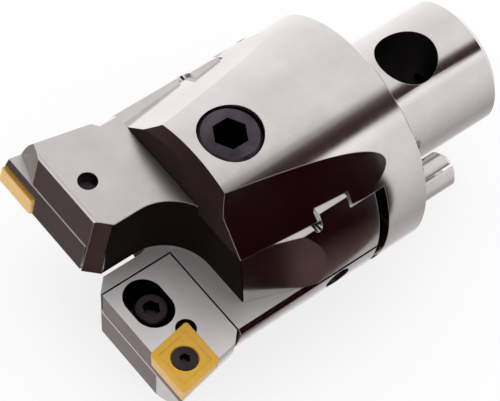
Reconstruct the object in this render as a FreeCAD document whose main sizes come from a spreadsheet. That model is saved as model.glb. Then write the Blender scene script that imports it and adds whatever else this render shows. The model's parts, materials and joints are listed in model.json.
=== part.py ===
import FreeCAD, Part
import os
import Sketcher

# Twin-cutter rough boring head: a round body with a slotted front carries two slides
# that lie back to back, one for each cutting edge.
# X is the tool axis, with the shank towards +X and the cutting end towards -X.
# The origin is the centre of the body's flat rear face. Y is the direction in which the
# slides travel, and Z is square to the insert's rake face.
# The head looks the same after half a turn about X, so every piece of side 2 is made
# like its twin of side 1 and then turned over.

DOC = FreeCAD.newDocument("BoringHead")
SHEET = DOC.addObject("Spreadsheet::Sheet", "Sizes")

SIZES = (
    # body and shank
    ("body_radius", 31.5, "outer radius of the body"),
    ("body_length", 54.0, "rear face to the front of the jaws"),
    ("front_bevel_depth", 2.7, "bevel round the jaws, along the axis"),
    ("front_bevel_drop", 1.9, "bevel round the jaws, in radius"),
    ("rear_edge", 0.5, "bevel round the rear face"),
    ("shank_radius", 17.0, "coupling shank"),
    ("shank_length", 37.2, "coupling shank"),
    ("shank_edge", 1.6, "bevel at the end of the shank"),
    ("coolant_radius", 2.0, "coolant bore down the axis"),
    ("cross_radius", 8.0, "clamping hole across the shank"),
    ("cross_place", 17.5, "clamping hole, from the rear face"),
    # slot in the body
    ("slot_floor", 12.4, "rear face to the floor of the slot"),
    ("slide_fit", 0.05, "running clearance of the slides"),
    ("rib_headroom", 0.1, "space above the rib of a slide"),
    ("rib_gap", 0.9, "space behind the rib of a slide"),
    ("facet_angle", 46.0, "chip facets, turned from the clamp screws"),
    ("facet_start", 9.7, "rear end of a facet"),
    ("facet_tilt", 3.8, "slope of a facet towards the axis"),
    # slides
    ("slide_rear", 15.5, "rear end of the slides"),
    ("slide_height", 17.1, "top of a slide inside the slot"),
    ("mid_gap", 0.03, "half the gap between the two slides"),
    ("rib_rear", 23.05, "guide rib, rear side"),
    ("rib_front", 31.75, "guide rib, front side"),
    ("rib_top", 19.6, "guide rib, height above the middle"),
    ("rib_relief", 1.2, "radius of the relief groove beside the rib"),
    ("rib_relief_lift", 0.2, "centre of that groove above the slide"),
    ("jaw_gap", 0.15, "gap between a jaw and the head of a slide"),
    ("block_height", 20.0, "height of a slide's head"),
    ("front_reach", 78.8, "rear face to the front of the heads"),
    ("front_lean", 2.1, "how far the front leans back over its height"),
    ("top_edge", 0.5, "bevel along the top of the front"),
    ("flare_length", 19.5, "front part of a head, wider than the body"),
    ("step_rise", 1.4, "growth in radius where that part starts"),
    ("side_taper", 10.0, "taper of a head's outer side"),
    ("inner_wall", 0.44, "inner side of a head, from the middle"),
    ("inner_bevel", 3.3, "bevel of that side at the front"),
    ("corner_angle", 20.0, "bevel at a head's outer front corner"),
    ("corner_place", 25.3, "where that bevel starts, from the middle"),
    ("gullet_setback", 1.2, "rear wall of the chip space, behind the jaws' front"),
    ("gullet_radius", 13.0, "round corner of the chip space"),
    ("flank_offset", 43.5, "chip flat on the far end of a slide"),
    ("flank_turn", 19.1, "that flat, turned about Z"),
    ("flank_lean", 13.3, "that flat, leaning over"),
    ("slide_edge", 1.2, "bevel along the outer edge of a slide"),
    # travel
    ("travel_in", 2.5, "slide travel towards the axis"),
    ("travel_out", 8.5, "slide travel away from the axis"),
    ("cartridge_travel", 2.5, "how far a cartridge can be set out"),
    # clamp screws and their nuts
    ("clamp_place", 40.4, "clamp screws, from the rear face"),
    ("clamp_radius", 4.95, "clamp screw, thread"),
    ("clamp_hole", 5.5, "clearance hole in a jaw"),
    ("clamp_sink", 10.8, "floor of the counterbore, below the body's surface"),
    ("counterbore_radius", 8.15, "counterbore for the clamp screw"),
    ("clamp_head_radius", 7.95, "clamp screw head"),
    ("clamp_head_height", 10.0, "clamp screw head"),
    ("clamp_head_edge", 0.9, "bevel on the clamp screw head"),
    ("clamp_key", 8.0, "clamp screw socket across flats"),
    ("clamp_key_depth", 5.5, "clamp screw socket"),
    ("clamp_tip", 2.0, "end of the clamp screw above the middle"),
    ("nut_half", 7.8, "half the width of a sliding nut"),
    ("nut_foot", 0.8, "underside of a sliding nut"),
    ("nut_top", 9.8, "top of a sliding nut"),
    ("nut_fit", 0.2, "room round a sliding nut"),
    ("nut_corner", 1.0, "bevel on the corners of a sliding nut"),
    ("head_gap", 0.02, "gap under a screw head"),
    ("thread_fit", 0.05, "clearance of a screw in its thread"),
    ("small_edge", 0.5, "bevel on the head of a small screw"),
    # stop pins and adjusting screws
    ("stop_height", 5.0, "stop pins and adjusting screws, from the middle"),
    ("stop_radius", 2.5, "stop pin"),
    ("stop_reach", 30.0, "front end of a stop pin"),
    ("stop_seat", 8.0, "how deep a stop pin sits in the body"),
    ("stop_fit", 0.5, "room round a stop pin in its slide"),
    ("adjuster_place", 27.0, "adjusting screws, from the rear face"),
    ("adjuster_radius", 2.95, "adjusting screw"),
    ("adjuster_length", 24.0, "adjusting screw"),
    ("adjuster_key", 3.0, "adjusting screw socket across flats"),
    ("adjuster_touch", 0.05, "gap between the screw's point and its pin"),
    ("adjuster_mouth", 3.5, "mouth of that hole"),
    ("mouth_depth", 5.0, "depth of the mouth"),
    # drive pin
    ("drive_radius", 4.7, "drive pin"),
    ("drive_bore", 2.4, "hollow of the drive pin"),
    ("drive_inset", 0.55, "drive pin, in from the middle of the rear face's ring"),
    ("drive_reach", 13.5, "drive pin, out of the rear face"),
    ("drive_seat", 10.0, "drive pin, inside the body"),
    ("drive_edge", 1.2, "bevel at the free end of the drive pin"),
    ("drive_squeeze", 0.2, "how much its hole squeezes the drive pin"),
    ("drive_mouth", 0.4, "bevel round its hole"),
    ("drive_spread", 1.0, "length over which it opens out again"),
    ("drive_slit", 0.6, "slit along the drive pin"),
    ("drive_slit_angle", 66.0, "where the slit faces"),
    # cartridges
    ("seat_length", 20.8, "length of a cartridge seat"),
    ("cartridge_inner", 4.0, "inner wall of a cartridge seat"),
    ("cartridge_height", 9.0, "thickness of a cartridge"),
    ("cartridge_gap", 0.45, "gap round a cartridge"),
    ("seat_fit", 0.03, "gap under a cartridge"),
    ("seat_edge", 0.5, "bevel along the front of a cartridge seat"),
    ("cartridge_edge", 30.3, "where the bevel at its rear outer corner starts"),
    ("fixing_setback", 7.7, "cartridge screws, behind the front of the heads"),
    ("fixing_offset", 13.6, "cartridge screws, from the middle"),
    ("fixing_radius", 2.45, "cartridge screw, thread"),
    ("fixing_head_radius", 4.25, "cartridge screw head"),
    ("fixing_head_height", 5.0, "cartridge screw head"),
    ("fixing_sink", 0.7, "cartridge screw head below the face"),
    ("fixing_tip", 17.5, "end of the cartridge screw"),
    ("fixing_key", 4.0, "cartridge screw socket across flats"),
    ("fixing_key_depth", 2.6, "cartridge screw socket"),
    ("oval_radius", 5.1, "half the width of the oval recess"),
    ("oval_inner", 5.4, "inner end of the recess, from the middle"),
    ("oval_outer", 19.6, "outer end of the recess, from the middle"),
    ("oval_slot_radius", 2.75, "half the width of the slot under the recess"),
    # inserts
    ("nose_lead", 0.7, "cutting corner, ahead of the heads"),
    ("nose_reach", 5.1, "cutting corner, outside the body's surface"),
    ("insert_circle", 12.7, "inscribed circle of an insert"),
    ("insert_angle", 80.0, "cutting corner of an insert"),
    ("insert_thickness", 4.76, "thickness of an insert"),
    ("insert_clearance", 7.0, "clearance angle of an insert"),
    ("insert_nose", 0.8, "corner radius of an insert"),
    ("insert_hole", 2.75, "hole through an insert"),
    ("insert_sink_radius", 3.75, "countersink of an insert"),
    ("insert_sink_depth", 1.6, "countersink of an insert"),
    ("insert_fit", 0.02, "gap round an insert in its seat"),
    ("insert_land", 1.3, "flat rim on the rake face of an insert"),
    ("chip_groove", 0.35, "depth of the rake face inside its rim"),
    ("relief_radius", 2.6, "relief hole in an insert seat"),
    ("relief_inset", 1.3, "relief hole, in from the seat's corner"),
    ("relief_depth", 0.4, "relief hole, below the seat"),
    ("insert_screw_radius", 1.95, "insert screw, thread"),
    ("insert_screw_head", 3.2, "insert screw head"),
    ("insert_screw_sink", 0.5, "insert screw head below the rake face"),
    ("insert_screw_cone", 1.4, "height of the insert screw head"),
    ("insert_screw_tip", 8.4, "end of the insert screw"),
    ("insert_screw_key", 2.5, "insert screw socket across flats"),
    ("insert_screw_key_depth", 1.5, "insert screw socket"),
    # for the cutters themselves
    ("overcut", 1.0, "how far a cutter runs past the face it opens"),
)

# Formulas that several pieces share, written with the names of the sizes in braces.
SLOT_HALF = "({slide_height} + {slide_fit})"
JAW_FACE = "({body_length} + {jaw_gap})"
FRONT_TOP = "({front_reach} - {front_lean})"
FRONT_SLOPE = "({front_lean} / {block_height})"
STEP_PLACE = "({front_reach} - {flare_length})"
CONE_START = f"({STEP_PLACE} + {{step_rise}})"
GULLET_WALL = "({body_length} - {gullet_setback})"
CLAMP_SEAT = "({body_radius} - {clamp_sink})"
DRIVE_PLACE = "(({shank_radius} + {body_radius}) / 2 - {drive_inset})"
DRIVE_HOLE = "({drive_radius} - {drive_squeeze})"
SEAT_REAR = "({front_reach} - {seat_length})"
FIXING_PLACE = "({front_reach} - {fixing_setback})"
NOSE_PLACE = "({front_reach} + {nose_lead})"
NOSE_OFFSET = "({body_radius} + {nose_reach})"
CONE_END = "({front_reach} + {overcut})"
CONE_RADIUS = f"({{body_radius}} + {{step_rise}} + ({CONE_END} - {CONE_START}) * tan({{side_taper}}))"
INSERT_EDGE = "({insert_circle} / sin({insert_angle}))"
INSERT_LEAN = "(90 - {insert_angle})"
CLEAR = "(3 * {body_radius})"


def formula(text):
    """An expression for the sheet: each name in braces becomes one of its cells."""
    return str(text).replace("{", "Sizes.").replace("}", "")


def bind(thing, prop, text):
    """Ties one property of an object to the sheet."""
    thing.setExpression(prop, formula(text))


def fill_sheet():
    """Writes the driving dimensions into the sheet, one named cell each."""
    for row, (name, value, meaning) in enumerate(SIZES, start=1):
        SHEET.set(f"A{row}", name)
        SHEET.set(f"B{row}", str(value))
        SHEET.set(f"C{row}", meaning)
        SHEET.setAlias(f"B{row}", name)
    DOC.recompute()


def place(thing, x="0", y="0", z="0"):
    """Ties the position of an object to the sheet."""
    bind(thing, "Placement.Base.x", x)
    bind(thing, "Placement.Base.y", y)
    bind(thing, "Placement.Base.z", z)


def closed_outline(sketch, corners):
    """Draws straight edges between corners, each corner a pair of formulas."""
    count = len(corners)
    first = sketch.GeometryCount
    for index in range(count):
        start = FreeCAD.Vector(index, index * index, 0)
        end = FreeCAD.Vector((index + 1) % count, ((index + 1) % count) ** 2, 0)
        sketch.addGeometry(Part.LineSegment(start, end), False)
    for index in range(count):
        edge = first + index
        following = first + (index + 1) % count
        sketch.addConstraint(Sketcher.Constraint("Coincident", edge, 2, following, 1))
        across, up = corners[index]
        for kind, text in (("DistanceX", across), ("DistanceY", up)):
            number = sketch.addConstraint(Sketcher.Constraint(kind, -1, 1, edge, 1, 1.0))
            sketch.setExpression(f"Constraints[{number}]", formula(text))


def circle_at(sketch, across, up, radius):
    """Draws a circle whose centre and radius are formulas."""
    edge = sketch.addGeometry(Part.Circle(FreeCAD.Vector(1, 1, 0), FreeCAD.Vector(0, 0, 1), 1), False)
    for kind, text in (("DistanceX", across), ("DistanceY", up)):
        number = sketch.addConstraint(Sketcher.Constraint(kind, -1, 1, edge, 3, 1.0))
        sketch.setExpression(f"Constraints[{number}]", formula(text))
    number = sketch.addConstraint(Sketcher.Constraint("Radius", edge, 1.0))
    sketch.setExpression(f"Constraints[{number}]", formula(radius))


# Loose solids: prisms, boxes and rods, and what is made of them

VIEWS = {
    "XY": FreeCAD.Rotation(),
    "XZ": FreeCAD.Rotation(FreeCAD.Vector(1, 0, 0), 90),
    "YZ": FreeCAD.Rotation(FreeCAD.Vector(1, 1, 1), 120),
}
RODS = {
    "X": FreeCAD.Rotation(FreeCAD.Vector(0, 1, 0), 90),
    "Y": FreeCAD.Rotation(FreeCAD.Vector(1, 0, 0), -90),
    "Z": FreeCAD.Rotation(),
}


def prism(name, view, corners, low, high):
    """A straight-sided outline drawn in one view and pushed from low to high."""
    sketch = DOC.addObject("Sketcher::SketchObject", name + "_outline")
    sketch.Placement = FreeCAD.Placement(FreeCAD.Vector(), VIEWS[view])
    closed_outline(sketch, corners)
    solid = DOC.addObject("Part::Extrusion", name)
    solid.Base = sketch
    solid.DirMode = "Normal"
    solid.Solid = True
    bind(solid, "LengthFwd", high)
    bind(solid, "LengthRev", f"-({low})")
    return solid


def turned(name, corners):
    """A solid of revolution about X from an outline of (x, radius) corners."""
    sketch = DOC.addObject("Sketcher::SketchObject", name + "_outline")
    closed_outline(sketch, corners)
    solid = DOC.addObject("Part::Revolution", name)
    solid.Source = sketch
    solid.Axis = FreeCAD.Vector(1, 0, 0)
    solid.Angle = 360
    solid.Solid = True
    return solid


def block(name, x_range, y_range, z_range):
    """A box between two formulas along each axis."""
    solid = DOC.addObject("Part::Box", name)
    bind(solid, "Length", f"({x_range[1]}) - ({x_range[0]})")
    bind(solid, "Width", f"({y_range[1]}) - ({y_range[0]})")
    bind(solid, "Height", f"({z_range[1]}) - ({z_range[0]})")
    place(solid, x_range[0], y_range[0], z_range[0])
    return solid


def rod(name, axis, centre, radius, start, end):
    """A cylinder along X, Y or Z; centre holds its other two coordinates."""
    solid = DOC.addObject("Part::Cylinder", name)
    solid.Placement = FreeCAD.Placement(FreeCAD.Vector(), RODS[axis])
    bind(solid, "Radius", radius)
    bind(solid, "Height", f"({end}) - ({start})")
    first, second = centre
    spots = {"X": (start, first, second), "Y": (first, start, second), "Z": (first, second, start)}
    place(solid, *spots[axis])
    return solid


def union(name, solids):
    joined = DOC.addObject("Part::MultiFuse", name)
    joined.Shapes = solids
    return joined


def overlap(name, solids):
    shared = DOC.addObject("Part::MultiCommon", name)
    shared.Shapes = solids
    return shared


def difference(name, base, tools):
    """Cuts a list of solids from a base."""
    result = DOC.addObject("Part::Cut", name)
    result.Base = base
    result.Tool = tools[0] if len(tools) == 1 else union(name + "_tools", tools)
    return result


def obround(name, x_place, y_range, radius, z_range):
    """An upright slot that is round at both ends and runs along Y."""
    ends = (f"({y_range[0]}) + ({radius})", f"({y_range[1]}) - ({radius})")
    sides = (f"({x_place}) - ({radius})", f"({x_place}) + ({radius})")
    middle = block(name + "_middle", sides, ends, z_range)
    near = rod(name + "_near", "Z", (x_place, ends[0]), radius, *z_range)
    far = rod(name + "_far", "Z", (x_place, ends[1]), radius, *z_range)
    return union(name, [middle, near, far])


# Bodies: one feature after the other


def new_body(name):
    return DOC.addObject("PartDesign::Body", name)


def sketch_in(body, name, view, turn_angle=None, shift=(None, None, None)):
    """A sketch on one of the body's own origin planes, turned about X or shifted if asked."""
    sketch = body.newObject("Sketcher::SketchObject", name)
    role = view + "_Plane"
    plane = [item for item in body.Origin.OriginFeatures if item.Role == role][0]
    sketch.AttachmentSupport = [(plane, "")]
    sketch.MapMode = "FlatFace"
    if turn_angle is not None:
        sketch.AttachmentOffset = FreeCAD.Placement(
            FreeCAD.Vector(), FreeCAD.Rotation(FreeCAD.Vector(1, 0, 0), 1))
        bind(sketch, "AttachmentOffset.Rotation.Angle", turn_angle)
    for direction, text in zip("xyz", shift):
        if text is not None:
            bind(sketch, f"AttachmentOffset.Base.{direction}", text)
    return sketch


def revolve_in(body, name, sketch, axis="H_Axis"):
    feature = body.newObject("PartDesign::Revolution", name)
    feature.Profile = sketch
    feature.ReferenceAxis = (sketch, [axis])
    feature.Angle = 360
    feature.Refine = False
    DOC.recompute()
    return feature


def groove_in(body, name, sketch, axis="V_Axis"):
    feature = body.newObject("PartDesign::Groove", name)
    feature.Profile = sketch
    feature.ReferenceAxis = (sketch, [axis])
    feature.Angle = 360
    feature.Refine = False
    DOC.recompute()
    return feature


def pocket_through(body, name, sketch):
    """Cuts the sketch right through the body, both ways."""
    feature = body.newObject("PartDesign::Pocket", name)
    feature.Profile = sketch
    feature.Type = "ThroughAll"
    feature.SideType = "Symmetric"
    feature.Refine = False
    DOC.recompute()
    return feature


def pocket_deep(body, name, sketch, depth, backwards=False):
    """Cuts the sketch to a depth, against its normal or along it."""
    feature = body.newObject("PartDesign::Pocket", name)
    feature.Profile = sketch
    feature.Reversed = backwards
    feature.Refine = False
    bind(feature, "Length", depth)
    DOC.recompute()
    return feature


def hexagon(sketch, across_flats):
    """Draws a hexagon round the sketch's origin."""
    corner = f"({across_flats}) / sqrt(3)"
    corners = []
    for step in range(6):
        angle = 60 * step
        corners.append((f"{corner} * cos({angle})", f"{corner} * sin({angle})"))
    closed_outline(sketch, corners)


# The body of the head


def make_body():
    """Turned body and shank, slotted across its front, with facets, holes and bores.

    The shank is drawn as two stretches that meet at the middle of the cross hole.
    """
    body = new_body("body")
    cross_profile = sketch_in(body, "BodyProfile", "XY")
    closed_outline(cross_profile, [
        ("-{body_length}", "0"),
        ("-{body_length}", "{body_radius} - {front_bevel_drop}"),
        ("-{body_length} + {front_bevel_depth}", "{body_radius}"),
        ("-{rear_edge}", "{body_radius}"),
        ("0", "{body_radius} - {rear_edge}"),
        ("0", "{shank_radius}"),
        ("{cross_place}", "{shank_radius}"),
        ("{shank_length} - {shank_edge}", "{shank_radius}"),
        ("{shank_length}", "{shank_radius} - {shank_edge}"),
        ("{shank_length}", "0"),
    ])
    revolve_in(body, "TurnedBody", cross_profile)

    slot = sketch_in(body, "SlotProfile", "XZ")
    groove_front = "-({rib_front} + {slide_fit})"
    groove_rear = "-({rib_rear} - {rib_gap})"
    groove_top = "({rib_top} + {rib_headroom})"
    upper = [
        ("-{slot_floor}", SLOT_HALF),
        (groove_rear, SLOT_HALF),
        (groove_rear, groove_top),
        (groove_front, groove_top),
        (groove_front, SLOT_HALF),
        ("-{body_length} - {overcut}", SLOT_HALF),
    ]
    lower = [(across, f"-{up}") for across, up in reversed(upper)]
    closed_outline(slot, upper + lower)
    pocket_through(body, "Slot", slot)

    for index, side in enumerate(("{facet_angle}", "-{facet_angle}", "180 - {facet_angle}",
                                  "180 + {facet_angle}")):
        facet = sketch_in(body, f"FacetProfile{index + 1}", "XZ", turn_angle=side)
        front = "({body_length} + {overcut})"
        drop = f"({front} - {{facet_start}}) * tan({{facet_tilt}})"
        closed_outline(facet, [
            ("-{facet_start}", "{body_radius}"),
            (f"-{front}", f"{{body_radius}} - {drop}"),
            (f"-{front}", "{body_radius} + {overcut}"),
            ("-{facet_start}", "{body_radius} + {overcut}"),
        ])
        pocket_through(body, f"Facet{index + 1}", facet)

    for index, sign in enumerate(("", "-")):
        seat = (None, None, f"{sign}{CLAMP_SEAT}")
        clamp = sketch_in(body, f"ClampBore{index + 1}Profile", "XY", shift=seat)
        circle_at(clamp, "-{clamp_place}", "0", "{counterbore_radius}")
        pocket_deep(body, f"ClampBore{index + 1}", clamp, "{body_radius}", backwards=not sign)
    clearance = sketch_in(body, "ClampHoleProfile", "XY")
    circle_at(clearance, "-{clamp_place}", "0", "{clamp_hole}")
    pocket_through(body, "ClampHoles", clearance)

    cross = sketch_in(body, "CrossHoleProfile", "XY")
    circle_at(cross, "{cross_place}", "0", "{cross_radius}")
    pocket_through(body, "CrossHole", cross)

    coolant = sketch_in(body, "CoolantProfile", "YZ")
    circle_at(coolant, "0", "0", "{coolant_radius}")
    pocket_through(body, "CoolantBore", coolant)

    drive = sketch_in(body, "DriveHoleProfile", "YZ")
    circle_at(drive, f"-{DRIVE_PLACE}", "0", DRIVE_HOLE)
    pocket_deep(body, "DriveHole", drive, "{drive_seat}")
    mouth = sketch_in(body, "DriveMouthProfile", "XY", shift=(None, f"-{DRIVE_PLACE}", None))
    closed_outline(mouth, [
        ("-{drive_mouth}", "0"),
        ("-{drive_mouth}", DRIVE_HOLE),
        ("0", "{drive_radius} + {drive_mouth}"),
        ("0", "0"),
    ])
    groove_in(body, "DriveMouth", mouth, "H_Axis")

    stops = sketch_in(body, "StopHoleProfile", "YZ", shift=(None, None, "-{slot_floor}"))
    circle_at(stops, "0", "{stop_height}", "{stop_radius}")
    circle_at(stops, "0", "-{stop_height}", "{stop_radius}")
    pocket_deep(body, "StopHoles", stops, "{stop_seat}", backwards=True)
    return body


def make_drive_pin():
    """Hollow spring pin with a slit, half in the rear face, which squeezes it a little."""
    ring = turned("DrivePinRing", [
        ("-{drive_seat}", "{drive_bore}"),
        ("-{drive_seat}", DRIVE_HOLE),
        ("0", DRIVE_HOLE),
        ("{drive_spread}", "{drive_radius}"),
        ("{drive_reach} - {drive_edge}", "{drive_radius}"),
        ("{drive_reach}", "{drive_radius} - {drive_edge}"),
        ("{drive_reach}", "{drive_bore}"),
    ])
    slit = block(
        "DrivePinSlit",
        ("-{drive_seat} - {overcut}", "{drive_reach} + {overcut}"),
        ("0", "{drive_radius} + {overcut}"),
        ("-{drive_slit} / 2", "{drive_slit} / 2"),
    )
    slit.Placement.Rotation = FreeCAD.Rotation(FreeCAD.Vector(1, 0, 0), 1)
    bind(slit, "Placement.Rotation.Angle", "180 - {drive_slit_angle}")
    place(slit, "-{drive_seat} - {overcut}")
    pin = difference("drive_pin", ring, [slit])
    place(pin, "0", f"-{DRIVE_PLACE}", "0")
    return pin


# The slides


def head_envelope(name):
    """Outer surface of a slide and its cartridge, turned about the tool axis."""
    return turned(name, [
        ("-{slide_rear}", "0"),
        ("-{slide_rear}", "{body_radius}"),
        (f"-{STEP_PLACE}", "{body_radius}"),
        (f"-{CONE_START}", "{body_radius} + {step_rise}"),
        (f"-{CONE_END}", CONE_RADIUS),
        (f"-{CONE_END}", "0"),
    ])


def front_leaning(name, height, rear):
    """Side outline of a head: its front leans back, and the rest is square."""
    return prism(name, "XZ", [
        (f"-({rear})", "{mid_gap}"),
        (f"-({rear})", height),
        (f"-({{front_reach}} - {height} * {FRONT_SLOPE})", height),
        ("-{front_reach}", "{mid_gap}"),
    ], f"-{CLEAR}", CLEAR)


def slide_side(name):
    """Side outline of a slide: tail with its guide rib, and the taller head."""
    return prism(name, "XZ", [
        ("-{slide_rear}", "{mid_gap}"),
        ("-{slide_rear}", "{slide_height}"),
        ("-{rib_rear}", "{slide_height}"),
        ("-{rib_rear}", "{rib_top}"),
        ("-{rib_front}", "{rib_top}"),
        ("-{rib_front}", "{slide_height}"),
        (f"-{JAW_FACE}", "{slide_height}"),
        (f"-{JAW_FACE}", "{block_height}"),
        (f"-{FRONT_TOP} + {{top_edge}}", "{block_height}"),
        (f"-{FRONT_TOP} - {{top_edge}} * {FRONT_SLOPE}", "{block_height} - {top_edge}"),
        ("-{front_reach}", "{mid_gap}"),
    ], f"-{CLEAR}", CLEAR)


def chip_space(name):
    """Room in front of the other cutting edge, with one large round corner."""
    turn_point = f"({GULLET_WALL} + {{gullet_radius}})"
    depth = "({inner_wall} - {gullet_radius})"
    height = ("-{overcut}", "{block_height} + {overcut}")
    front = block(name + "_front", (f"-{CLEAR}", f"-{turn_point}"), (f"-{CLEAR}", "{inner_wall}"), height)
    rear = block(name + "_rear", (f"-{turn_point}", f"-{GULLET_WALL}"), (f"-{CLEAR}", depth), height)
    corner = rod(name + "_corner", "Z", (f"-{turn_point}", depth), "{gullet_radius}", *height)
    return union(name, [front, rear, corner])


def leaning_prism(name, corners, lean, length):
    """An outline drawn on XY and pushed up a slope; lean is its run along X and Y for each unit up."""
    sketch = DOC.addObject("Sketcher::SketchObject", name + "_outline")
    closed_outline(sketch, corners)
    solid = DOC.addObject("Part::Extrusion", name)
    solid.Base = sketch
    solid.DirMode = "Custom"
    solid.Dir = FreeCAD.Vector(0, 0, 1)
    solid.Solid = True
    bind(solid, "Dir.x", lean[0])
    bind(solid, "Dir.y", lean[1])
    bind(solid, "LengthFwd", length)
    return solid


def inner_bevel(name):
    """Bevel where the inner side of a head meets its front."""
    start = "({front_reach} - {inner_bevel})"
    return leaning_prism(name, [
        (f"-{start}", "{inner_wall}"),
        (f"-{start} - {CLEAR}", f"{{inner_wall}} + {CLEAR}"),
        (f"-{start} - {CLEAR}", "{inner_wall} - {overcut}"),
        (f"-{start}", "{inner_wall} - {overcut}"),
    ], (FRONT_SLOPE, "0"), CLEAR)


def corner_bevel(name):
    """Sloping facet at the outer front corner of a head, above its cartridge."""
    start = f"({{front_reach}} - {{cartridge_height}} * {FRONT_SLOPE})"
    facet = leaning_prism(name, [
        (f"-{start}", "{corner_place}"),
        (f"-{start} + {CLEAR} * tan({{corner_angle}})", f"{{corner_place}} + {CLEAR}"),
        (f"-{start} - {CLEAR}", f"{{corner_place}} + {CLEAR}"),
        (f"-{start} - {CLEAR}", "{corner_place}"),
    ], (FRONT_SLOPE, "0"), CLEAR)
    place(facet, "0", "0", "{cartridge_height}")
    return facet


def far_flat(name):
    """Sloping chip flat on the end of a slide that lies under the other cutting edge."""
    return leaning_prism(name, [
        ("-{front_reach}", "-{flank_offset} + {front_reach} * tan({flank_turn})"),
        ("0", "-{flank_offset}"),
        ("0", f"-{CLEAR}"),
        ("-{front_reach}", f"-{CLEAR}"),
    ], ("0", "tan({flank_lean})"), CLEAR)


def seat_front_edge(name):
    """Bevel along the front of a cartridge seat, which shows as a light seam."""
    floor = "({cartridge_height} + {seat_fit})"
    front = f"({{front_reach}} - {floor} * {FRONT_SLOPE})"
    return prism(name, "XZ", [
        (f"-({front} - {{seat_edge}})", floor),
        (f"-({front} + {{overcut}})", f"{floor} + {{seat_edge}} + {{overcut}}"),
        (f"-({front} + {{overcut}})", floor),
    ], f"-{CLEAR}", "-{cartridge_inner}")


def nut_room(name):
    """Stepped slot that lets a slide travel past its clamp screw and nut."""
    half = "({nut_half} + {nut_fit})"
    wide = block(
        name + "_wide",
        (f"-{{clamp_place}} - {half}", f"-{{clamp_place}} + {half}"),
        (f"-{{travel_out}} - {half}", f"{{travel_in}} + {half}"),
        ("-{overcut}", "{nut_top} + {nut_fit}"),
    )
    narrow = obround(
        name + "_narrow", "-{clamp_place}",
        ("-{travel_out} - {clamp_hole}", "{travel_in} + {clamp_hole}"),
        "{clamp_hole}", ("-{overcut}", "{block_height}"),
    )
    return [wide, narrow]


def stop_room(name):
    """Slot that lets a slide travel past its stop pin, open to the rear."""
    room = "({stop_radius} + {stop_fit})"
    return block(
        name,
        ("(-{stop_reach} - {stop_fit})", "-{slide_rear} + {overcut}"),
        (f"-{{travel_out}} - {room}", f"{{travel_in}} + {room}"),
        (f"{{stop_height}} - {room}", f"{{stop_height}} + {room}"),
    )


def make_slide(number):
    """Slide with its tail in the slot and its head in front of the body."""
    tag = f"Slide{number}"
    blank = overlap(tag + "Blank", [slide_side(tag + "Side"), head_envelope(tag + "Envelope")])
    cuts = [
        chip_space(tag + "ChipSpace"),
        inner_bevel(tag + "InnerBevel"),
        corner_bevel(tag + "CornerBevel"),
        block(
            tag + "Seat",
            (f"-{CLEAR}", f"-{SEAT_REAR}"),
            ("{cartridge_inner}", CLEAR),
            ("-{overcut}", "{cartridge_height} + {seat_fit}"),
        ),
        seat_front_edge(tag + "SeatEdge"),
        rod(tag + "FixingHole", "Z", (f"-{FIXING_PLACE}", "{fixing_offset}"),
            "{fixing_radius} + {thread_fit}", "0", "{block_height} + {overcut}"),
        rod(tag + "AdjusterHole", "Y", ("-{adjuster_place}", "{stop_height}"),
            "{adjuster_radius} + {thread_fit}", "0", CLEAR),
        rod(tag + "AdjusterMouth", "Y", ("-{adjuster_place}", "{stop_height}"), "{adjuster_mouth}",
            "{body_radius} - {mouth_depth}", CLEAR),
        rod(tag + "RibRelief", "Y", ("-{rib_front} - {rib_relief}", "{slide_height} + {rib_relief_lift}"),
            "{rib_relief}", f"-{CLEAR}", CLEAR),
        prism(tag + "OuterEdge", "YZ", [
            ("{body_radius} - {slide_edge}", "0"),
            ("{body_radius} + {overcut}", "{slide_edge} + {overcut}"),
            ("{body_radius} + {overcut}", "0"),
        ], f"-{SEAT_REAR}", "0"),
    ]
    cuts += nut_room(tag + "NutRoom")
    cuts.append(stop_room(tag + "StopRoom"))
    cuts.append(far_flat(tag + "FarFlat"))
    return difference(f"slide_{number}", blank, cuts)


# The cartridges


def insert_corner(along_front, along_side):
    """A point of the insert's outline, counted in edge lengths from its cutting corner."""
    return (
        f"-{NOSE_PLACE} + ({along_side}) * cos({INSERT_LEAN})",
        f"{NOSE_OFFSET} - ({along_front}) - ({along_side}) * sin({INSERT_LEAN})",
    )


def insert_seat(name):
    """Room for the insert, open to the front and to the outer side."""
    edge = f"({INSERT_EDGE} + {{insert_fit}})"
    return prism(name, "XY", [
        insert_corner(edge, "-{insert_circle}"),
        insert_corner(edge, edge),
        insert_corner("-{insert_circle}", edge),
        insert_corner("-{insert_circle}", "-{insert_circle}"),
    ], "-{overcut}", "{mid_gap} + {insert_thickness}")


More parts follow.
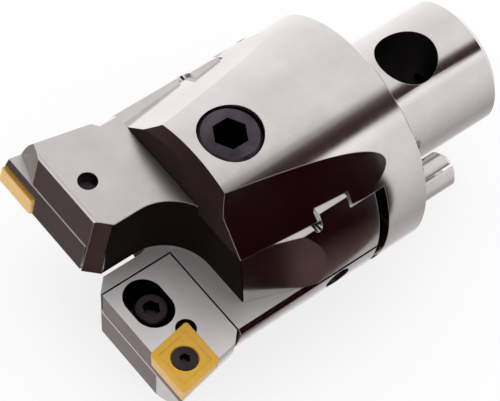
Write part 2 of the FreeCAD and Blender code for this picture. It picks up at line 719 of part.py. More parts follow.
def make_cartridge(number):
    """Cartridge that carries the insert and can be set outwards on its slide."""
    tag = f"Cartridge{number}"
    rear = f"({SEAT_REAR} + {{cartridge_gap}})"
    inner = "({cartridge_inner} + {cartridge_gap})"
    plan = prism(tag + "Plan", "XY", [
        (f"-{rear}", inner),
        (f"-{rear}", "{cartridge_edge}"),
        (f"-{rear} - {CLEAR}", f"{{cartridge_edge}} + {CLEAR}"),
        (f"-{rear} - {CLEAR}", inner),
    ], "0", "{cartridge_height}")
    side = front_leaning(tag + "Side", "{cartridge_height}", rear)
    blank = overlap(tag + "Blank", [plan, side, head_envelope(tag + "Envelope")])
    floor = "({mid_gap} + {fixing_sink} + {fixing_head_height})"
    slot_ends = (
        "{oval_inner} + {oval_radius} - {oval_slot_radius}",
        "{oval_outer} - {oval_radius} + {oval_slot_radius}",
    )
    screw_spot = insert_corner(f"{INSERT_EDGE} / 2", f"{INSERT_EDGE} / 2")
    inset = f"({INSERT_EDGE} - {{relief_inset}})"
    cuts = [
        insert_seat(tag + "InsertSeat"),
        rod(tag + "Relief", "Z", insert_corner(inset, inset), "{relief_radius}",
            "-{overcut}", "{mid_gap} + {insert_thickness} + {relief_depth}"),
        obround(tag + "Oval", f"-{FIXING_PLACE}", ("{oval_inner}", "{oval_outer}"), "{oval_radius}",
                ("-{overcut}", floor)),
        obround(tag + "OvalSlot", f"-{FIXING_PLACE}", slot_ends, "{oval_slot_radius}",
                ("0", "{cartridge_height} + {overcut}")),
        rod(tag + "ScrewHole", "Z", screw_spot, "{insert_screw_radius} + {thread_fit}",
            "0", "{cartridge_height} + {overcut}"),
    ]
    return difference(f"cartridge_{number}", blank, cuts)


# The inserts


def upright(items, kind, least_height):
    """Names of the edges or faces that stand at least that tall."""
    return [f"{kind}{index}" for index, item in enumerate(items, start=1)
            if item.BoundBox.ZLength > least_height]


def make_insert(number):
    """Rhombic insert with relieved sides, a sunk rake face and a countersunk hole."""
    body = new_body(f"insert_{number}")
    outline = sketch_in(body, f"Insert{number}Outline", "XY", shift=(None, None, "{mid_gap}"))
    corners = [("0", "0"), ("1", "0"), ("1", "1"), ("0", "1")]
    closed_outline(outline, [
        insert_corner(f"{first} * {INSERT_EDGE}", f"{second} * {INSERT_EDGE}") for first, second in corners
    ])
    blank = body.newObject("PartDesign::Pad", f"Insert{number}Blank")
    blank.Profile = outline
    bind(blank, "Length", "{insert_thickness}")
    DOC.recompute()
    half = blank.Length.Value / 2

    noses = body.newObject("PartDesign::Fillet", f"Insert{number}Noses")
    noses.Base = (blank, upright(blank.Shape.Edges, "Edge", half))
    bind(noses, "Radius", "{insert_nose}")
    DOC.recompute()

    relief = body.newObject("PartDesign::Draft", f"Insert{number}Relief")
    relief.Base = (noses, upright(noses.Shape.Faces, "Face", half))
    relief.NeutralPlane = (outline, [""])
    relief.Reversed = False
    bind(relief, "Angle", "{insert_clearance}")
    DOC.recompute()

    rake = sketch_in(body, f"Insert{number}RakeProfile", "XY", shift=(None, None, "{mid_gap}"))
    near = f"({{insert_land}} / sin({{insert_angle}}) * (1 + cos({{insert_angle}})))"
    ends = {"0": near, "1": f"({INSERT_EDGE} - {near})"}
    closed_outline(rake, [insert_corner(ends[first], ends[second]) for first, second in corners])
    pocket_deep(body, f"Insert{number}Rake", rake, "{chip_groove}", backwards=True)

    centre = insert_corner(f"{INSERT_EDGE} / 2", f"{INSERT_EDGE} / 2")
    hole = sketch_in(body, f"Insert{number}HoleProfile", "XZ",
                     shift=(centre[0], "{mid_gap}", f"-({centre[1]})"))
    closed_outline(hole, [
        ("0", "0"),
        ("{insert_sink_radius}", "0"),
        ("{insert_hole}", "{insert_sink_depth}"),
        ("{insert_hole}", "{insert_thickness} + {overcut}"),
        ("0", "{insert_thickness} + {overcut}"),
    ])
    groove_in(body, f"Insert{number}Hole", hole)
    return body


# The screws, pins and nuts


def make_clamp_screw(number):
    """Socket screw through a jaw, with its head in the counterbore."""
    body = new_body(f"clamp_screw_{number}")
    seat = f"({CLAMP_SEAT} + {{head_gap}})"
    top = f"({seat} + {{clamp_head_height}})"
    profile = sketch_in(body, f"ClampScrew{number}Profile", "XZ", shift=("-{clamp_place}", None, None))
    closed_outline(profile, [
        ("0", "{clamp_tip}"),
        ("{clamp_radius}", "{clamp_tip}"),
        ("{clamp_radius}", seat),
        ("{clamp_head_radius}", seat),
        ("{clamp_head_radius}", f"{top} - {{clamp_head_edge}}"),
        ("{clamp_head_radius} - {clamp_head_edge}", top),
        ("0", top),
    ])
    revolve_in(body, f"ClampScrew{number}Turned", profile, "V_Axis")
    socket = sketch_in(body, f"ClampScrew{number}SocketProfile", "XY", shift=("-{clamp_place}", None, top))
    hexagon(socket, "{clamp_key}")
    pocket_deep(body, f"ClampScrew{number}Socket", socket, "{clamp_key_depth}")
    return body


def make_clamp_nut(number):
    """Square nut that slides in the stepped slot of a slide."""
    body = new_body(f"clamp_nut_{number}")
    outline = sketch_in(body, f"Nut{number}Outline", "XY", shift=("-{clamp_place}", None, "{nut_foot}"))
    side = "{nut_half}"
    short = "({nut_half} - {nut_corner})"
    closed_outline(outline, [
        (f"-{short}", f"-{side}"),
        (short, f"-{side}"),
        (side, f"-{short}"),
        (side, short),
        (short, side),
        (f"-{short}", side),
        (f"-{side}", short),
        (f"-{side}", f"-{short}"),
    ])
    circle_at(outline, "0", "0", "{clamp_radius} + {thread_fit}")
    blank = body.newObject("PartDesign::Pad", f"Nut{number}Blank")
    blank.Profile = outline
    bind(blank, "Length", "{nut_top} - {nut_foot}")
    DOC.recompute()
    return body


def make_stop_pin(number):
    """Dowel in the floor of the slot that an adjusting screw pushes against."""
    body = new_body(f"stop_pin_{number}")
    profile = sketch_in(body, f"StopPin{number}Profile", "XZ", shift=(None, "{stop_height}", None))
    rear = "(-{slot_floor} + {stop_seat})"
    closed_outline(profile, [
        (rear, "0"),
        (rear, "{stop_radius}"),
        ("-{stop_reach}", "{stop_radius}"),
        ("-{stop_reach}", "0"),
    ])
    revolve_in(body, f"StopPin{number}Turned", profile, "H_Axis")
    return body


def make_adjusting_screw(number):
    """Set screw inside a slide; its flat point bears on the stop pin."""
    body = new_body(f"adjusting_screw_{number}")
    shift = ("-{adjuster_place}", None, "{stop_height}")
    profile = sketch_in(body, f"Adjuster{number}Profile", "XY", shift=shift)
    point = "({stop_radius} + {adjuster_touch})"
    end = f"({point} + {{adjuster_length}})"
    closed_outline(profile, [
        ("0", point),
        ("{adjuster_radius}", point),
        ("{adjuster_radius}", end),
        ("0", end),
    ])
    revolve_in(body, f"Adjuster{number}Turned", profile, "V_Axis")
    socket = sketch_in(body, f"Adjuster{number}SocketProfile", "XZ",
                       shift=("-{adjuster_place}", "{stop_height}", f"-{end}"))
    hexagon(socket, "{adjuster_key}")
    pocket_deep(body, f"Adjuster{number}Socket", socket, "{adjuster_key}", backwards=True)
    return body


def make_cartridge_screw(number):
    """Socket screw that holds a cartridge on its slide."""
    body = new_body(f"cartridge_screw_{number}")
    profile = sketch_in(body, f"Fixing{number}Profile", "XZ",
                        shift=(f"-{FIXING_PLACE}", None, "-{fixing_offset}"))
    top = "({mid_gap} + {fixing_sink})"
    seat = f"({top} + {{fixing_head_height}} - {{head_gap}})"
    closed_outline(profile, [
        ("0", top),
        ("{fixing_head_radius} - {small_edge}", top),
        ("{fixing_head_radius}", f"{top} + {{small_edge}}"),
        ("{fixing_head_radius}", seat),
        ("{fixing_radius}", seat),
        ("{fixing_radius}", "{fixing_tip}"),
        ("0", "{fixing_tip}"),
    ])
    revolve_in(body, f"Fixing{number}Turned", profile, "V_Axis")
    socket = sketch_in(body, f"Fixing{number}SocketProfile", "XY",
                       shift=(f"-{FIXING_PLACE}", "{fixing_offset}", top))
    hexagon(socket, "{fixing_key}")
    pocket_deep(body, f"Fixing{number}Socket", socket, "{fixing_key_depth}", backwards=True)
    return body


def make_insert_screw(number):
    """Countersunk screw that pulls an insert into its seat."""
    body = new_body(f"insert_screw_{number}")
    centre = insert_corner(f"{INSERT_EDGE} / 2", f"{INSERT_EDGE} / 2")
    profile = sketch_in(body, f"InsertScrew{number}Profile", "XZ",
                        shift=(centre[0], None, f"-({centre[1]})"))
    top = "({mid_gap} + {insert_screw_sink})"
    closed_outline(profile, [
        ("0", top),
        ("{insert_screw_head}", top),
        ("{insert_screw_radius}", f"{top} + {{insert_screw_cone}}"),
        ("{insert_screw_radius}", "{insert_screw_tip}"),
        ("0", "{insert_screw_tip}"),
    ])
    revolve_in(body, f"InsertScrew{number}Turned", profile, "V_Axis")
    socket = sketch_in(body, f"InsertScrew{number}SocketProfile", "XY", shift=(centre[0], centre[1], top))
    hexagon(socket, "{insert_screw_key}")
    pocket_deep(body, f"InsertScrew{number}Socket", socket, "{insert_screw_key_depth}", backwards=True)
    return body


# The whole head

TWINS = (
    make_stop_pin,
    make_clamp_nut,
    make_slide,
    make_cartridge,
    make_insert,
    make_clamp_screw,
    make_adjusting_screw,
    make_cartridge_screw,
    make_insert_screw,
)


def turn_over(piece):
    """Turns a piece of side 2 half round the tool axis."""
    piece.Placement = FreeCAD.Placement(
        FreeCAD.Vector(), FreeCAD.Rotation(FreeCAD.Vector(1, 0, 0), 180))


def build():
    """Makes every piece and returns them in one list."""
    pieces = [make_body(), make_drive_pin()]
    for make in TWINS:
        pieces.append(make(1))
        twin = make(2)
        turn_over(twin)
        pieces.append(twin)
    DOC.recompute()
    return pieces


def check(pieces):
    """Stops if any object failed or any piece is not one sound solid."""
    for item in DOC.Objects:
        if "Invalid" in item.State or "Error" in item.State:
            raise RuntimeError(f"{item.Label} failed: {item.State}")
    for piece in pieces:
        shape = piece.Shape
        if shape.isNull() or not shape.isValid() or len(shape.Solids) != 1:
            raise RuntimeError(f"{piece.Label} is not one sound solid")


def export(pieces):
    """Writes one file for each piece, named after it."""
    os.makedirs("parts", exist_ok=True)
    for piece in pieces:
        piece.Shape.exportStep(f"parts/{piece.Label}.step")


fill_sheet()
PIECES = build()
check(PIECES)
export(PIECES)
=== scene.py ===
import json
import math

import bpy
from mathutils import Matrix, Vector


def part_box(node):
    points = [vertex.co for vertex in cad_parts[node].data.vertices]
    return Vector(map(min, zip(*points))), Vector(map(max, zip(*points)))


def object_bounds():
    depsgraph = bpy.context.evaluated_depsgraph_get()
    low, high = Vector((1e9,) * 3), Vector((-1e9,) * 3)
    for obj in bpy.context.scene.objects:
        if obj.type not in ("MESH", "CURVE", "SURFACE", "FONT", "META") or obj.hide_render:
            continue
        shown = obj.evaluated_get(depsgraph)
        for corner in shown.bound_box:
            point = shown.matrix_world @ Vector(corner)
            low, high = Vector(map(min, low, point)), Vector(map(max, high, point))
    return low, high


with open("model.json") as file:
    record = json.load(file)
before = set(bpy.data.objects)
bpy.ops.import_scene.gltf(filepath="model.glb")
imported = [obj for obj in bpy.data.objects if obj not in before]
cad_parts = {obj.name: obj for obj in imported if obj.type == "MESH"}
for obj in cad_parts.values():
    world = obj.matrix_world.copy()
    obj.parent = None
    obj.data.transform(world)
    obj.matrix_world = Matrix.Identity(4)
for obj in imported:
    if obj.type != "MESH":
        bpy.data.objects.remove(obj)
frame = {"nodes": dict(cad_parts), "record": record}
cad_low, cad_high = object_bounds()
nodes = frame["nodes"]
mounts = {mount["name"]: mount for mount in frame["record"]["mounts"]}
scene = bpy.context.scene

# The camera comes first. Its place and its three directions were fitted to the photograph.
CAMERA_PLACE = Vector((-0.316327, -0.252233, 0.565656))
CAMERA_RIGHT = Vector((0.772754, -0.624634, 0.112625))
CAMERA_UP = Vector((0.478631, 0.690024, 0.542936))
CAMERA_BACK = Vector((-0.416851, -0.365650, 0.832187))
SENSOR = 36.0
FOCAL_IN_WIDTHS = 2790.31 / 500

# Colours, linear.
BRIGHT_STEEL = (0.66, 0.65, 0.64)
DULL_STEEL = (0.58, 0.57, 0.56)
EDGE_STEEL = (0.80, 0.79, 0.78)
# Dark tone of the marks on the oxide and the nut, and painted shade inside the cross hole and the
# coolant bore.
DARK_MARKS_AND_HOLE_SHADE = (0.020, 0.016, 0.016)
# Painted shade in the cartridge screw recesses and the clamp screw sockets.
PAINTED_PIT_SHADE = (0.006, 0.003, 0.004)
# Painted shade and dark reflection on the chip space walls of the slides.
CHIP_SPACE_SHADE = (0.013, 0.006, 0.006)
# Painted shade and dark reflection on the jaw fronts, which are bright ground steel on the real part.
JAW_FRONT_SHADE = (0.050, 0.028, 0.030)
GOLD = (0.62, 0.33, 0.020)
PALE_GOLD = (0.72, 0.43, 0.065)
# Paler gold on the insert flanks: painted light on the side faces.
PAINTED_LIGHT_FLANK_GOLD = (0.88, 0.59, 0.26)
BLACK_OXIDE = (0.120, 0.100, 0.128)
WORN_OXIDE = (0.26, 0.23, 0.28)
SMALL_OXIDE = (0.060, 0.046, 0.052)
DARK_ROOM = (0.012, 0.001, 0.002)
WHITE = (1, 1, 1, 1)

# Patterns on metal: features in a metre. The bump is in metres.
FINE_MARKS = 2600
BROAD_MARKS = 420
STAINS = 75
SPECKS = 1900
BUMP_HEIGHT = 0.00006
HOLE_ROUGHNESS = 0.6
EDGE_ROUGHNESS = 0.25
EDGE_SHARE = 0.8

# Regions that have painted shade, their own colour or their own gloss, in metres.
EDGE_RADIUS = 0.00015
RECESS_SKIN = 0.0003
HOLE_SKIN = 0.00003
SEAT_DEPTH = 0.0010
FRONT_DEPTH = 0.0045
CHIP_WALL = 0.0007
CHIP_FRONT = 0.0040
CHIP_REAR = 0.0016
CHIP_SIDE = 0.032
# How far the painted shade in a socket, and in a cartridge's slot along and across the travel, goes, in
# screw head radii.
KEY_SHARE = 0.6
SLOT_ACROSS = 1.25
SLOT_ALONG = 2.0
# The part of a face's normal along an axis beyond which it counts as an end, a front or a side.
TURNED_END = 0.7
FRONT_FACING = -0.40
SIDE_FACING = 0.5
FLAT_FACING = (0.97, 0.995)

# Floor, lamp and card. The card's ends are seen from above, in metres.
FLOOR_SIZE = 6.0
FLOOR_WHITE = 0.72
LAMP_SIZE = 0.7
LAMP_POWER = 0.8
LAMP_PLACE = (0.10, 0.15, 0.75)
CARD_NEAR = Vector((0.0063, -0.060, 0.0))
CARD_FAR = Vector((-0.0390, -0.114, 0.0))
CARD_BOTTOM = -0.150
CARD_TOP = 0.060
CARD_LOW = (0.110, 0.066, 0.060)
CARD_FADE = -0.05
CARD_UNEVEN = 0.009


def add(tree, kind, inputs=(), **settings):
    """Adds a node; inputs are values or sockets to link."""
    node = tree.nodes.new("ShaderNode" + kind)
    for name, value in settings.items():
        setattr(node, name, value)
    for name, value in dict(inputs).items():
        socket = node.inputs[name]
        if isinstance(value, bpy.types.NodeSocket):
            tree.links.new(value, socket)
        else:
            socket.default_value = value
    return node


def math_node(tree, operation, first, second=0.0):
    return add(tree, "Math", {0: first, 1: second}, operation=operation).outputs[0]


def mixed(tree, first, first_share, second, second_share):
    """The sum of two values, each times its share."""
    first = math_node(tree, "MULTIPLY", first, first_share)
    return math_node(tree, "ADD", first, math_node(tree, "MULTIPLY", second, second_share))


def between(tree, value, low, high, start=0.0, end=1.0, smooth=False):
    """Turns value from low to high into start to end."""
    kind = "SMOOTHSTEP" if smooth else "LINEAR"
    ramp = add(tree, "MapRange", {
        "Value": value, "From Min": low, "From Max": high, "To Min": start, "To Max": end,
    }, interpolation_type=kind)
    return ramp.outputs["Result"]


def blend_colour(tree, share, first, second):
    mix = add(tree, "Mix", {"Factor": share}, data_type="RGBA")
    for name, value in (("A_Color", first), ("B_Color", second)):
        socket = next(item for item in mix.inputs if item.identifier == name)
        if isinstance(value, bpy.types.NodeSocket):
            tree.links.new(value, socket)
        else:
            socket.default_value = (*value, 1.0)
    return next(item for item in mix.outputs if item.identifier == "Result_Color")


def noise(tree, place, scale, stretch=(1, 1, 1), detail=3.0, roughness=0.5):
    """Noise in metres: scale is features in a metre, and stretch multiplies it along each axis."""
    stretched = add(tree, "Mapping", {"Vector": place, "Scale": stretch})
    pattern = add(tree, "TexNoise", {
        "Vector": stretched.outputs[0], "Scale": scale, "Detail": detail, "Roughness": roughness,
    })
    return pattern.outputs["Fac"]


def inside_box(tree, place, low, high):
    """1 where the surface lies inside a box of the row frame, else 0."""
    low, high = Vector(low), Vector(high)
    offset = add(tree, "VectorMath", {0: place, 1: (low + high) / 2}, operation="SUBTRACT").outputs[0]
    reach = add(tree, "VectorMath", {0: offset}, operation="ABSOLUTE").outputs[0]
    excess = add(tree, "VectorMath", {0: reach, 1: (high - low) / 2}, operation="SUBTRACT").outputs[0]
    parts = add(tree, "SeparateXYZ", {0: excess}).outputs
    most = math_node(tree, "MAXIMUM", math_node(tree, "MAXIMUM", parts[0], parts[1]), parts[2])
    return math_node(tree, "LESS_THAN", most, 0.0)


def inside_rod(tree, place, axis, centre, radius, start, end):
    """1 where the surface lies inside a round rod along one axis of the row frame, else 0."""
    offset = add(tree, "VectorMath", {0: place, 1: Vector(centre)}, operation="SUBTRACT").outputs[0]
    parts = add(tree, "SeparateXYZ", {0: offset}).outputs
    across = [parts[index] for index in range(3) if index != axis]
    flat = add(tree, "CombineXYZ", {0: across[0], 1: across[1]}).outputs[0]
    away = add(tree, "VectorMath", {0: flat}, operation="LENGTH").outputs["Value"]
    near = math_node(tree, "LESS_THAN", away, radius)
    past = math_node(tree, "GREATER_THAN", parts[axis], start - centre[axis])
    before = math_node(tree, "LESS_THAN", parts[axis], end - centre[axis])
    return math_node(tree, "MULTIPLY", near, math_node(tree, "MULTIPLY", past, before))


def facing_front(tree, place, limit):
    """1 on faces that look to the cutting end and lie before a limit, else 0."""
    normal = add(tree, "NewGeometry").outputs["Normal"]
    looks = math_node(tree, "LESS_THAN", add(tree, "SeparateXYZ", {0: normal}).outputs[0], FRONT_FACING)
    before = math_node(tree, "LESS_THAN", add(tree, "SeparateXYZ", {0: place}).outputs[0], limit)
    return math_node(tree, "MULTIPLY", looks, before)


def standing(tree, place):
    """1 on faces that stand square to the rake faces or nearly so, else 0."""
    normal = add(tree, "NewGeometry").outputs["Normal"]
    upward = math_node(tree, "ABSOLUTE", add(tree, "SeparateXYZ", {0: normal}).outputs[2])
    return math_node(tree, "LESS_THAN", upward, SIDE_FACING)


def new_material(name):
    material = bpy.data.materials.new(name)
    material.use_nodes = True
    material.node_tree.nodes.clear()
    return material, material.node_tree


def edge_finder(tree):
    """The normal rounded over the edges, and how near an edge is, from 0 to 1."""
    rounded = add(tree, "Bevel", {"Radius": EDGE_RADIUS}, samples=6).outputs[0]
    flat = add(tree, "NewGeometry").outputs["Normal"]
    alike = add(tree, "VectorMath", {0: rounded, 1: flat}, operation="DOT_PRODUCT").outputs["Value"]
    return rounded, between(tree, alike, 0.995, 0.86)


def turned_line(tree, place):
    """Distance along the axis on a turned side and distance from it on a turned end, in metres."""
    parts = add(tree, "SeparateXYZ", {0: place}).outputs
    flat = add(tree, "CombineXYZ", {1: parts[1], 2: parts[2]}).outputs[0]
    radius = add(tree, "VectorMath", {0: flat}, operation="LENGTH").outputs["Value"]
    normal = add(tree, "NewGeometry").outputs["Normal"]
    facing = math_node(tree, "ABSOLUTE", add(tree, "SeparateXYZ", {0: normal}).outputs[0])
    on_end = math_node(tree, "GREATER_THAN", facing, TURNED_END)
    along = add(tree, "Mix", {0: on_end, 2: parts[0], 3: radius}, data_type="FLOAT").outputs[0]
    return add(tree, "CombineXYZ", {0: along}).outputs[0]


def metal(name, colour, dull, edge, roughness, grain=(1, 1, 1), turned=False, painted_shade_and_light=(), marks=0.05,
          metallic=1.0, satin=0.0, pale=0.0):
    """Worked metal: fine marks of the tool, soft stains, brighter edges, and areas of painted shade or
    painted light.

    satin is the roughness added on faces square to Z, and pale how much less metallic those near
    the plane of the rake faces are. Each painted area is its colour of painted shade or light, its test
    and the test's limits.
    """
    material, tree = new_material(name)
    place = add(tree, "TexCoord").outputs["Object"]
    rounded, near_edge = edge_finder(tree)
    line = turned_line(tree, place) if turned else place
    fine = noise(tree, line, FINE_MARKS, grain, 2.0)
    broad = noise(tree, line, BROAD_MARKS, grain, 2.0)
    stain = noise(tree, place, STAINS, detail=5.0, roughness=0.6)
    speck = noise(tree, place, SPECKS, detail=3.0, roughness=0.65)
    lines = mixed(tree, fine, 0.6, broad, 0.4)

    tone = blend_colour(tree, between(tree, stain, 0.35, 0.75), colour, dull)
    tone = blend_colour(tree, between(tree, lines, 0.62, 0.30, 0.0, 0.35), tone, dull)
    tone = blend_colour(tree, between(tree, speck, 0.66, 0.80, 0.0, 0.5), tone, dull)
    tone = blend_colour(tree, math_node(tree, "MULTIPLY", near_edge, EDGE_SHARE), tone, edge)
    rough = math_node(tree, "ADD", between(tree, stain, 0.3, 0.7, roughness * 0.86, roughness * 1.2),
                      between(tree, lines, 0.3, 0.7, -0.03, 0.04))
    normal = add(tree, "NewGeometry").outputs["Normal"]
    upright = math_node(tree, "ABSOLUTE", add(tree, "SeparateXYZ", {0: normal}).outputs[2])
    flat_share = between(tree, upright, *FLAT_FACING)
    rough = math_node(tree, "ADD", rough, math_node(tree, "MULTIPLY", flat_share, satin))
    rough = math_node(tree, "ADD", rough, math_node(tree, "MULTIPLY", near_edge, EDGE_ROUGHNESS))
    bare = metallic
    if pale:
        height = math_node(tree, "ABSOLUTE", add(tree, "SeparateXYZ", {0: place}).outputs[2])
        near_seat = math_node(tree, "LESS_THAN", height, SEAT_DEPTH)
        on_seat = math_node(tree, "MULTIPLY", flat_share, near_seat)
        bare = between(tree, on_seat, 0.0, 1.0, metallic, metallic - pale)
    # Painted shade in holes, sockets, chip walls and jaw fronts, and painted light on the insert flanks,
    # each made rougher too.
    for shade, test, *limits in painted_shade_and_light:
        within = test(tree, place, *limits)
        tone = blend_colour(tree, within, tone, shade)
        rough = math_node(tree, "MAXIMUM", rough, math_node(tree, "MULTIPLY", within, HOLE_ROUGHNESS))

    heights = mixed(tree, lines, 0.7, speck, 0.3)
    bump = add(tree, "Bump", {
        "Strength": marks, "Distance": BUMP_HEIGHT, "Height": heights, "Normal": rounded,
    })
    shader = add(tree, "BsdfPrincipled", {
        "Base Color": tone, "Metallic": bare, "Roughness": rough, "Normal": bump.outputs[0],
    })
    add(tree, "OutputMaterial", {"Surface": shader.outputs[0]})
    return material


def paint(node, material):
    """Gives one material to every slot of a CAD node."""
    mesh = nodes[node].data
    if not mesh.materials:
        mesh.materials.append(material)
    for index in range(len(mesh.materials)):
        mesh.materials[index] = material


def find_painted_shade():
    """Where each piece has painted shade, and is rougher too: holes, sockets, chip walls and jaw fronts.
    """
    cross, coolant = mounts["cross_hole"], mounts["coolant_inlet"]
    half = cross["dims"]["length_mm"] / 2000 - 2 * RECESS_SKIN
    shank_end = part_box("body")[1].x - RECESS_SKIN
    cross_radius = cross["dims"]["r_mm"] / 1000 + HOLE_SKIN
    coolant_radius = coolant["dims"]["r_mm"] / 1000 + HOLE_SKIN
    # Painted shade inside the cross hole and the coolant bore.
    cross_hole_shade = (DARK_MARKS_AND_HOLE_SHADE, inside_rod, 2, cross["pos_m"], cross_radius, -half, half)
    coolant_bore_shade = (DARK_MARKS_AND_HOLE_SHADE, inside_rod, 0, coolant["pos_m"], coolant_radius, 0.0, shank_end)
    # Painted shade and dark reflection on the faces of the jaw fronts.
    jaw_front_shade = (JAW_FRONT_SHADE, facing_front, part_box("body")[0].x + FRONT_DEPTH)
    painted_shade_and_light = {"body": [jaw_front_shade, cross_hole_shade, coolant_bore_shade]}
    for side, sign in (("1", 1), ("2", -1)):
        cartridge_low, cartridge_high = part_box("cartridge_" + side)
        low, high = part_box("cartridge_screw_" + side)
        head, centre = (high.x - low.x) / 2, (low + high) / 2
        reach = Vector((head * SLOT_ACROSS, head * SLOT_ALONG, 0))
        deep = cartridge_high.z if sign > 0 else cartridge_low.z
        # Painted shade in the cartridge screw's recess.
        box = upright_box(centre - reach, centre + reach, sign * RECESS_SKIN, deep)
        painted_shade_and_light["cartridge_" + side] = [(PAINTED_PIT_SHADE, inside_box, *box)]

        low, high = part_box("clamp_screw_" + side)
        head, centre = (high.x - low.x) / 2, (low + high) / 2
        ends = sorted((0.0, (high.z if sign > 0 else low.z) - sign * RECESS_SKIN))
        # Painted shade and dark reflection on the slide's chip space walls.
        painted_shade_and_light["slide_" + side] = [(CHIP_SPACE_SHADE, inside_box, *chip_wall_shade_box(side, sign))]
        # Painted shade in the clamp screw's hex socket.
        painted_shade_and_light["clamp_screw_" + side] = [(PAINTED_PIT_SHADE, inside_rod, 2, centre, head * KEY_SHARE, *ends)]
    return painted_shade_and_light


def chip_wall_shade_box(side, sign):
    """The box of the chip space walls in front of the other insert, where dark shade is painted."""
    low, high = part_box("slide_" + side)
    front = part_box("body")[0].x
    beside = sorted((-sign * CHIP_SIDE, sign * CHIP_WALL))
    upward = sorted((sign * RECESS_SKIN, (high.z if sign > 0 else low.z) - sign * RECESS_SKIN))
    first = Vector((low.x + CHIP_FRONT, beside[0], upward[0]))
    return first, Vector((front + CHIP_REAR, beside[1], upward[1]))


def upright_box(low, high, first, second):
    """A box from its plan and its two heights."""
    return Vector((low.x, low.y, min(first, second))), Vector((high.x, high.y, max(first, second)))


def dress():
    """Makes the materials and hands them out."""
    painted_shade_and_light = find_painted_shade()
    steel = (BRIGHT_STEEL, DULL_STEEL, EDGE_STEEL)
    along_slide = (1, 0.03, 1)
    along_pin = (0.05, 1, 1)
    paint("body", metal("turned_steel", *steel, 0.11, turned=True, painted_shade_and_light=painted_shade_and_light["body"]))
    for side in ("1", "2"):
        slide, cartridge, screw = "slide_" + side, "cartridge_" + side, "clamp_screw_" + side
        paint(slide, metal("ground_" + slide, *steel, 0.16, along_slide,
                           painted_shade_and_light=painted_shade_and_light[slide], marks=0.015, satin=0.20, pale=0.42))
        paint(cartridge, metal("ground_" + cartridge, *steel, 0.18, along_slide,
                               painted_shade_and_light=painted_shade_and_light[cartridge], satin=0.22, pale=0.50))
        paint(screw, metal("oxide_" + screw, BLACK_OXIDE, DARK_MARKS_AND_HOLE_SHADE, WORN_OXIDE, 0.34,
                           painted_shade_and_light=painted_shade_and_light[screw], marks=0.10))
    pin = metal("pin_steel", *steel, 0.20, along_pin)
    nut = metal("nut_steel", DULL_STEEL, DARK_MARKS_AND_HOLE_SHADE, EDGE_STEEL, 0.40)
    oxide = metal("black_oxide", SMALL_OXIDE, DARK_MARKS_AND_HOLE_SHADE, WORN_OXIDE, 0.34, marks=0.10)
    # The insert flanks get a paler gold, which is painted light on the side faces.
    coating = metal("gold_coating", GOLD, PALE_GOLD, PALE_GOLD, 0.36,
                    painted_shade_and_light=[(PAINTED_LIGHT_FLANK_GOLD, standing)], marks=0.06, metallic=0.35)
    given = {
        "drive_pin": pin, "stop_pin_1": pin, "stop_pin_2": pin, "clamp_nut_1": nut, "clamp_nut_2": nut,
        "insert_1": coating, "insert_2": coating,
    }
    for kind in ("adjusting_screw", "cartridge_screw", "insert_screw"):
        given.update({kind + "_1": oxide, kind + "_2": oxide})
    for node, material in given.items():
        paint(node, material)


# Brightness of the studio round the tool axis, by the angle from +Z towards +Y in degrees.
STUDIO_RING = (
    (-180, 0.60), (-142, 0.45), (-106, 0.75), (-75, 0.98), (-52, 1.00), (-42, 1.25), (-38, 1.18),
    (-34, 0.00), (-26, 0.00), (-19, 0.08), (-10, 0.95), (5, 1.02), (42, 0.98), (66, 1.10), (100, 1.20),
    (139, 1.20), (180, 0.80),
)
STRIPE = (0.052, 0.024, 0.029)
# Dark and half-lit flags in front of the bright ring: direction, inner and outer angle, colour.
RING_START = (0.355, 0.415)
STUDIO_FLAGS = (
    ((0.31, -0.88, 0.36), 16, 24, DARK_ROOM),
    ((0.10, -0.15, 0.97), 14, 22, DARK_ROOM),
    ((0.02, -0.83, -0.57), 18, 26, DARK_ROOM),
    ((-0.07, -0.54, 0.83), 13, 20, DARK_ROOM),
    ((-0.42, 0.25, 0.87), 26, 32, DARK_ROOM),
    ((-0.48, -0.45, -0.76), 14, 24, (0.050, 0.026, 0.024)),
    ((-0.10, 0.52, -0.85), 14, 28, (0.330, 0.285, 0.285)),
    ((-0.53, 0.41, -0.74), 14, 24, (0.092, 0.064, 0.066)),
)


def studio_colour(tree):
    """What the metal mirrors: bright panels round the tool axis, and flags in front of the object."""
    direction = add(tree, "TexCoord").outputs["Generated"]
    parts = add(tree, "SeparateXYZ", {0: direction}).outputs
    angle = math_node(tree, "ARCTAN2", parts[1], parts[2])
    ring = add(tree, "ValToRGB", {0: between(tree, angle, -math.pi, math.pi)})
    stops = ring.color_ramp.elements
    for index, (degrees, level) in enumerate(STUDIO_RING):
        ends = {0: stops[0], len(STUDIO_RING) - 1: stops[-1]}
        stop = ends[index] if index in ends else stops.new((degrees + 180) / 360)
        stop.color = (level + STRIPE[0], level * 0.985 + STRIPE[1], level * 0.975 + STRIPE[2], 1)

    colour = ring.outputs[0]
    ahead = between(tree, parts[0], RING_START[1], RING_START[0], smooth=True)
    for aim, inner, outer, flag in STUDIO_FLAGS:
        unit = Vector(aim).normalized()
        near = add(tree, "VectorMath", {0: direction, 1: unit}, operation="DOT_PRODUCT").outputs["Value"]
        limits = (math.cos(math.radians(angle)) for angle in (outer, inner))
        cover = between(tree, near, *limits, smooth=True)
        colour = blend_colour(tree, math_node(tree, "MULTIPLY", cover, ahead), colour, flag)
    return colour


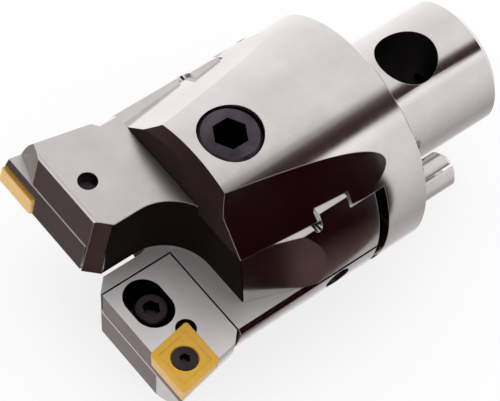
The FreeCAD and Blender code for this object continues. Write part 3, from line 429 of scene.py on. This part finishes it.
def light_world():
    """White light all round, and the studio for the rays that metal mirrors."""
    world = bpy.data.worlds.new("studio")
    scene.world = world
    world.use_nodes = True
    world.cycles.sampling_method = "NONE"
    tree = world.node_tree
    tree.nodes.clear()
    path = add(tree, "LightPath").outputs
    even = add(tree, "Background", {"Color": WHITE, "Strength": 1.0}).outputs[0]
    mirrored = add(tree, "Background", {"Color": studio_colour(tree), "Strength": 1.0}).outputs[0]
    lit = add(tree, "MixShader", {0: path["Is Glossy Ray"], 1: even, 2: mirrored}).outputs[0]
    add(tree, "OutputWorld", {"Surface": lit})


def light_lamp():
    """One large soft lamp over the object."""
    lamp = bpy.data.lights.new("soft_lamp", "AREA")
    lamp.shape = "DISK"
    lamp.size = LAMP_SIZE
    lamp.energy = LAMP_POWER
    holder = bpy.data.objects.new("soft_lamp", lamp)
    scene.collection.objects.link(holder)
    holder.location = LAMP_PLACE
    holder.rotation_euler = (-holder.location).to_track_quat("-Z", "Y").to_euler()
    holder.visible_glossy = False


def lay_floor():
    """Plain pale floor under the body; metal sees the studio through it."""
    bpy.ops.mesh.primitive_plane_add(size=FLOOR_SIZE, location=(0, 0, cad_low.z))
    floor = bpy.context.object
    floor.name = "floor"
    material, tree = new_material("pale_floor")
    place = add(tree, "TexCoord").outputs["Object"]
    cloud = noise(tree, place, 3.0)
    tone = blend_colour(tree, cloud, (0.95, 0.95, 0.95), (0.97, 0.97, 0.97))
    pale = add(tree, "BsdfDiffuse", {"Color": tone}).outputs[0]
    clear = add(tree, "BsdfTransparent").outputs[0]
    path = add(tree, "LightPath").outputs
    white = add(tree, "Emission", {"Color": WHITE}).outputs[0]
    share = math_node(tree, "MULTIPLY", path["Is Camera Ray"], FLOOR_WHITE)
    seen = add(tree, "MixShader", {0: share, 1: pale, 2: white}).outputs[0]
    add(tree, "OutputMaterial", {
        "Surface": add(tree, "MixShader", {0: path["Is Glossy Ray"], 1: seen, 2: clear}).outputs[0],
    })
    floor.data.materials.append(material)


def hang_card():
    """Dark card beside the head, seen only in the metal: the head's near side mirrors it."""
    corners = [end + Vector((0, 0, height)) for end, height in (
        (CARD_NEAR, CARD_BOTTOM), (CARD_FAR, CARD_BOTTOM), (CARD_FAR, CARD_TOP), (CARD_NEAR, CARD_TOP))]
    mesh = bpy.data.meshes.new("dark_card")
    mesh.from_pydata(corners, [], [(0, 1, 2, 3)])
    card = bpy.data.objects.new("dark_card", mesh)
    scene.collection.objects.link(card)
    material, tree = new_material("dark_card")
    place = add(tree, "TexCoord").outputs["Object"]
    height = add(tree, "SeparateXYZ", {0: place}).outputs[2]
    waver = between(tree, noise(tree, place, 30.0), 0.0, 1.0, -CARD_UNEVEN, CARD_UNEVEN)
    uneven = math_node(tree, "ADD", height, waver)
    tone = blend_colour(tree, between(tree, uneven, 0.0, CARD_FADE), DARK_ROOM, CARD_LOW)
    glow = add(tree, "Emission", {"Color": tone}).outputs[0]
    add(tree, "OutputMaterial", {"Surface": glow})
    card.data.materials.append(material)
    for unseen in ("visible_camera", "visible_diffuse", "visible_shadow", "visible_transmission"):
        setattr(card, unseen, False)


def set_camera():
    """The photograph's camera."""
    camera = bpy.data.cameras.new("camera")
    camera.sensor_width = SENSOR
    camera.sensor_fit = "HORIZONTAL"
    camera.lens = SENSOR * FOCAL_IN_WIDTHS
    camera.clip_start = 0.01
    holder = bpy.data.objects.new("camera", camera)
    scene.collection.objects.link(holder)
    turn = Matrix((CAMERA_RIGHT, CAMERA_UP, CAMERA_BACK)).transposed().to_4x4()
    holder.matrix_world = Matrix.Translation(CAMERA_PLACE) @ turn
    scene.camera = holder


scene.view_settings.view_transform = "Standard"
set_camera()
light_world()
light_lamp()
lay_floor()
hang_card()
dress()
